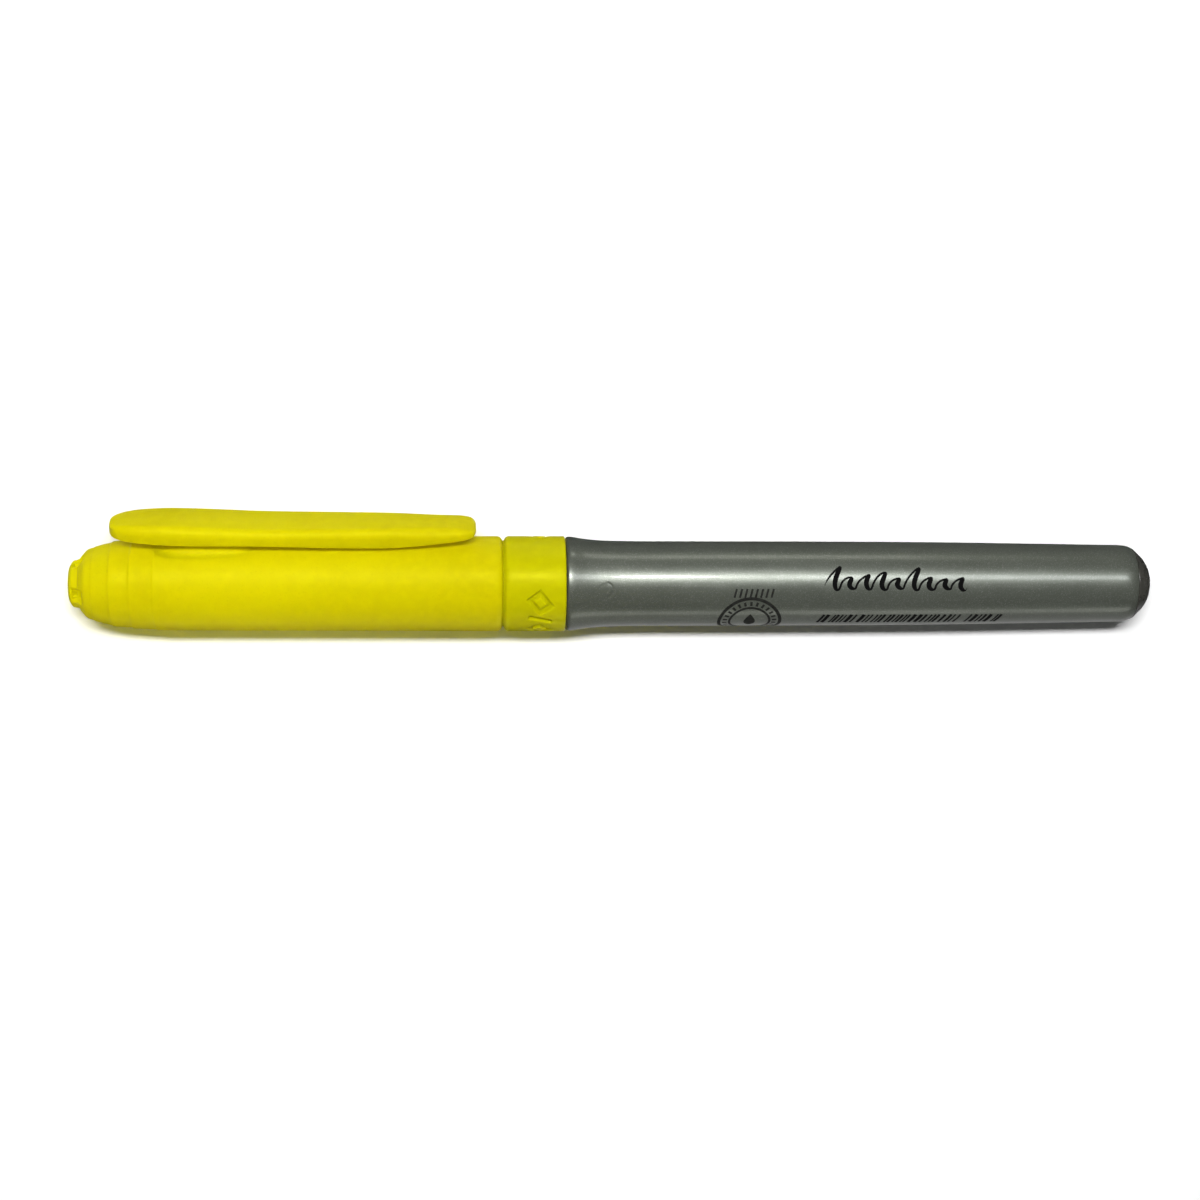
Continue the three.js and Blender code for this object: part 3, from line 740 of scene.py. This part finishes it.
# ------------------------------------------------------------------------------------------------ reservoir and film
rod = lathe("ink_fibre_rod", rounded([
    (31.0, 1.5), (31.0, 3.1, 0.1), (31.3, 3.2, 0.2), (127.7, 3.2, 0.2), (128.0, 3.1, 0.1), (128.0, 0), (37.6, 0), (37.6, 1.5), (31.0, 1.5),
]), seg=120, move=lambda i, s, r, a: (s, r - (0.05 * (0.5 + 0.5 * math.cos(a * 24)) ** 4 if r > 2.5 else 0)))
dress(rod, "fibre")
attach(rod, "pen")
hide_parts("ink_reservoir")
film = lathe("reservoir_film_tube", [(31.0, 3.27), (31.0, 3.41)] + [(31 + 97 * i / 60, 3.415) for i in range(1, 60)] + [(128.0, 3.41), (128.0, 3.27)],
             seg=96, closed=True, move=lambda i, s, r, a: (s, r - (0.02 * math.exp(-((a - 2.0) / 0.12) ** 2) if r > 3.35 else 0)))
dress(film, "film")
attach(film, "pen")
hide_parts("reservoir_wrap")

# ------------------------------------------------------------------------------------------------ barrel
SIDE = [(68, 5.61), (69.1, 5.56), (73, 5.51), (91, 5.5), (104.4, 5.465), (113.7, 5.385), (127, 5.195), (133.6, 5.085), (136, 5.06)]


def barrel_r(s):
    """Outside radius of the barrel's plain stretch."""
    for a, b in zip(SIDE, SIDE[1:]):
        if s <= b[0]:
            return (a[1] + (b[1] - a[1]) * (s - a[0]) / (b[0] - a[0])) * K
    return SIDE[-1][1] * K


barrel_out = rounded([
    (58.35, 4.88), (58.35, 5.22, 0.05), (63.22, 5.22, 0.05), (63.22, 5.76, 0.06), (63.38, 6.05, 0.12), (63.72, 6.115, 0.2),
    (64.12, 6.08, 0.2), (64.53, 6.015, 0.3), (65.18, 5.90, 0.4), (66.0, 5.785, 0.5), (66.9, 5.69, 0.6), (68.0, 5.615, 0.8), (69.6, 5.55, 1.0),
    (73.0, 5.51, 1.5), (91.0, 5.50, 4.0), (104.4, 5.465, 4.0), (113.7, 5.385, 3.0), (127.0, 5.195, 3.0), (133.6, 5.085, 1.5), (135.9, 5.065, 0.5),
    (136.6, 5.00, 0.4), (137.1, 4.88, 0.25), (137.44, 4.74, 0.08), (137.5, 4.68, 0.03),
])
barrel_profile = split(barrel_out, 66.4, 70.2, 0.08) + rounded([
    (137.5, 4.68), (137.5, 3.6, 0.05), (135.2, 3.6, 0.2), (133.6, 4.2, 0.2), (75.2, 4.46, 0.2), (74.4, 4.88, 0.1), (58.35, 4.88),
])[1:-1]
GATE_S, GATE_A, GATE_R = 68.1, math.radians(-9.5), 1.0


def barrel_move(i, s, r, a):
    if abs(s - GATE_S) < 1.5 and r > 5.2:
        t = ((a - GATE_A + math.pi) % TAU - math.pi) * r
        if abs(t) < 1.5:
            d = math.hypot(s - GATE_S, t)
            side = smooth(-0.1, 0.7, s - GATE_S)
            r -= 0.05 * math.exp(-((d - GATE_R) / 0.14) ** 2) * side
            r -= 0.012 * (1 - smooth(GATE_R - 0.2, GATE_R, d))
    return s, r


barrel = lathe("barrel_tube", barrel_profile, seg=360, closed=True, move=barrel_move, sharp=50)
dress(barrel, "barrel")
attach(barrel, "pen")
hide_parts("barrel")

plug = lathe("end_plug_dome", rounded([
    (128.25, 2.9), (128.25, 3.3, 0.1), (128.6, 3.5, 0.15), (137.56, 3.54, 0.04), (137.56, 4.64, 0.03), (137.62, 4.66, 0.03), (137.72, 4.58, 0.08),
    (138.2, 4.13, 0.2), (138.75, 3.62, 0.25), (139.2, 3.07, 0.25), (139.6, 2.36, 0.25), (139.85, 1.62, 0.25), (139.97, 0.88, 0.25), (140.0, 0),
    (136.6, 0), (136.6, 2.8, 0.1), (128.25, 2.9),
]), seg=180, sharp=50)
dress(plug, "plug")
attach(plug, "pen")
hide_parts("end_plug")


# ------------------------------------------------------------------------------------------------ printed marks
def ribbons(name, strokes, ink="ink"):
    """Thin printed strokes lying on the barrel. Each stroke is a list of (s, t, half width), with t the distance round
    the surface from straight up."""
    bm = bmesh.new()
    for pts in strokes:
        rows = []
        for i, (s, t, w) in enumerate(pts):
            a = pts[max(0, i - 1)]
            b = pts[min(len(pts) - 1, i + 1)]
            dx, dt = b[0] - a[0], b[1] - a[1]
            n = math.hypot(dx, dt) or 1.0
            nx, nt = -dt / n, dx / n
            row = []
            for side in (-1, -0.5, 0, 0.5, 1):
                ss, tt = s + nx * w * side, t + nt * w * side
                R = barrel_r(ss)
                row.append((ss, tt / R, R))
            rows.append(row)
        up = [[bm.verts.new(W(s, R + 0.014, a)) for s, a, R in row] for row in rows]
        dn = [[bm.verts.new(W(s, R - 0.03, a)) for s, a, R in row] for row in rows]
        for i in range(len(up) - 1):
            for j in range(4):
                bm.faces.new((up[i][j], up[i][j + 1], up[i + 1][j + 1], up[i + 1][j]))
                bm.faces.new((dn[i][j], dn[i + 1][j], dn[i + 1][j + 1], dn[i][j + 1]))
            for j in (0, 4):
                bm.faces.new((up[i][j], up[i + 1][j], dn[i + 1][j], dn[i][j]))
        for i in (0, -1):
            for j in range(4):
                bm.faces.new((up[i][j], dn[i][j], dn[i][j + 1], up[i][j + 1]))
    ob = finish_mesh(name, bm, 30)
    dress(ob, ink)
    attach(ob, "pen")
    return ob


def line(p, q, w, n=8, taper=0.0):
    out = []
    for i in range(n + 1):
        u = i / n
        out.append((p[0] + (q[0] - p[0]) * u, p[1] + (q[1] - p[1]) * u, w * (1 - taper * abs(2 * u - 1) ** 3)))
    return out


# scribble: a hand-drawn wave, thick on the way down and thin on the way up
wave = []
N = 640
for i in range(N + 1):
    u = i / N
    ph = TAU * 9.0 * u
    tall = 0.95 * math.exp(-((u - 0.06) / 0.05) ** 2) + 0.85 * math.exp(-((u - 0.60) / 0.045) ** 2) + 0.45 * math.exp(-((u - 0.33) / 0.09) ** 2)
    lift = 0.9 * math.exp(-((u - 0.06) / 0.06) ** 2) + 0.75 * math.exp(-((u - 0.60) / 0.05) ** 2) + 0.5 * math.exp(-((u - 0.33) / 0.1) ** 2)
    env = 0.72 + 0.85 * tall + 0.1 * math.sin(TAU * 3.3 * u)
    t = -0.15 + 0.9 * lift + env * math.sin(ph - 0.6)
    s = 96.4 + 18.6 * u + 0.42 * t - 0.20 * math.sin(2 * ph)
    w = 0.135 + 0.19 * max(0.0, -math.cos(ph - 0.6)) ** 0.8
    w *= smooth(0.0, 0.02, u) * (1 - smooth(0.975, 1.0, u)) * 0.85 + 0.15
    wave.append((s, t, w))
ribbons("print_scribble", [wave])

# row of small dashes
ribbons("print_dashes", [line((84.95 + 0.68 * k, -0.75), (84.68 + 0.68 * k, -1.90), 0.13, 5) for k in range(8)], "thin_ink")

# round emblem: two rings, spokes between them and a drop in the middle
CS, CT = 86.9, -6.0


def ring(rad, w, n=96):
    return [(CS + rad * math.cos(TAU * i / n), CT + rad * math.sin(TAU * i / n), w) for i in range(n + 1)]


strokes = [ring(3.95, 0.21), ring(2.60, 0.15)]
for k in range(26):
    q = TAU * (k + 0.5) / 26
    strokes.append(line((CS + 2.92 * math.cos(q), CT + 2.92 * math.sin(q)), (CS + 3.50 * math.cos(q), CT + 3.50 * math.sin(q)), 0.15, 3))
drop = []
for i in range(41):
    u = i / 40
    drop.append((CS, CT - 1.15 + 2.7 * u, 0.02 + 0.95 * math.sin(math.pi * min(1.0, u * 1.02)) ** 0.75 * (1 - 0.55 * u)))
strokes.append(drop)
ribbons("print_emblem", strokes, "thin_ink")

# slanted bars
bars = []
for s, stop in ((96.0, 96.9), (97.5, 100.5), (101.2, 108.8), (109.4, 114.3), (115.3, 119.9)):
    while s < stop:
        w = random.choice((0.10, 0.12, 0.16, 0.22))
        bars.append(line((s + 0.50, -4.60), (s - 0.25, -6.40), w, 6))
        s += 2 * w + random.choice((0.22, 0.28, 0.36, 0.46))
ribbons("print_bars", bars)

# ------------------------------------------------------------------------------------------------ stage
bm = bmesh.new()
vs = [bm.verts.new((x, y, 0.0)) for x, y in ((-3, -3), (3, -3), (3, 3), (-3, 3))]
bm.faces.new(vs)
floor = finish_mesh("floor", bm)
m = Mat("floor_white")
m.color(m.ramp(m.noise(30, 2, 0.5), [(0.3, (0.93, 0.93, 0.93, 1)), (0.7, (0.95, 0.95, 0.95, 1))]))
m.set(Roughness=0.9, Specular_IOR_Level=0.2)
floor.data.materials.append(m.m)
floor.visible_glossy = False  # the cards draw the rims instead

scene = bpy.context.scene
scene.view_settings.view_transform = "Standard"
scene.view_settings.look = "None"
world = bpy.data.worlds.new("studio")
world.use_nodes = True
world.node_tree.nodes["Background"].inputs["Color"].default_value = (0.95, 0.98, 1.0, 1)
world.node_tree.nodes["Background"].inputs["Strength"].default_value = 0.035
scene.world = world


def area(name, loc, target, sx, sy, power, color=(1, 1, 1)):
    light = bpy.data.lights.new(name, "AREA")
    light.shape = "RECTANGLE"
    light.size, light.size_y, light.energy, light.color = sx, sy, power, color
    ob = bpy.data.objects.new(name, light)
    ob.location = loc
    ob.rotation_mode = "QUATERNION"
    ob.rotation_quaternion = (Vector(target) - Vector(loc)).to_track_quat("-Z", "Y")
    scene.collection.objects.link(ob)
    return ob


def polar(dist, deg, x=0.0):
    """Place above the pen, deg degrees from straight up towards the clip's side."""
    return (x, AY + dist * math.sin(math.radians(deg)), AZ + dist * math.cos(math.radians(deg)))


key = area("key", polar(0.62, 10.8, -0.03), (-0.03, AY, AZ), 0.30, 0.07, 4.38)
strip = area("strip", polar(0.62, 17.4, -0.09), (-0.09, AY, AZ), 0.34, 0.055, 10.5)
strip_end = area("strip_end", polar(0.62, 16.5, 0.21), (0.21, AY, AZ), 0.20, 0.13, 1.8, (0.94, 0.96, 1.0))
back = area("card_back", polar(0.60, 77, 0.09), (0.09, AY, AZ), 0.16, 0.13, 0.42, (1.0, 1.0, 0.92))
front_card = area("card_front", polar(0.60, -88, 0.20), (0.20, AY, AZ), 0.36, 0.16, 0.58, (1.0, 1.0, 0.96))
low_card = area("card_low", (0.036, AY - 0.031, 0.0008), (0.036, AY - 0.031, 0.1), 0.085, 0.05, 0.0075)
warm = area("fill_warm", polar(0.22, -34, -0.055), (-0.052, AY - 0.004, 0), 0.06, 0.05, 0.0042, (1.0, 0.90, 0.02))
warm.data.spread = math.radians(34)
high = area("fill_high", polar(0.60, 52, 0.0), (0.0, AY, AZ), 0.18, 0.12, 0.50)
cool = area("fill_cool", polar(0.45, -52, 0.075), (0.04, AY - 0.008, 0), 0.14, 0.10, 0.10, (1.0, 1.0, 0.94))
for o in (key, strip, strip_end, back, front_card, low_card, warm, high, cool):
    o.visible_camera = False
for o in (key, warm, high, cool):
    o.visible_glossy = False  # the strips draw the highlights
for o in (strip, strip_end, back, front_card, low_card):
    o.visible_diffuse = False  # the key and the fills light the surfaces

# ------------------------------------------------------------------------------------------------ camera
cam = bpy.data.cameras.new("camera")
cam.sensor_width = 36
cam.lens = 69.607
cam.dof.use_dof = False
cam.clip_start, cam.clip_end = 0.01, 20
co = bpy.data.objects.new("camera", cam)
scene.collection.objects.link(co)
yaw, roll = math.radians(3.772), math.radians(-0.06)
f = Vector((math.sin(yaw), 0, -math.cos(yaw)))
r0, u0 = Vector((math.cos(yaw), 0, math.sin(yaw))), Vector((0, 1, 0))
r1 = r0 * math.cos(roll) + u0 * math.sin(roll)
u1 = u0 * math.cos(roll) - r0 * math.sin(roll)
co.matrix_world = Matrix.Translation((X0 + 0.048, AY - 0.002138, AZ + 0.300)) @ Matrix((
    (r1.x, u1.x, -f.x, 0), (r1.y, u1.y, -f.y, 0), (r1.z, u1.z, -f.z, 0), (0, 0, 0, 1)))
scene.camera = co
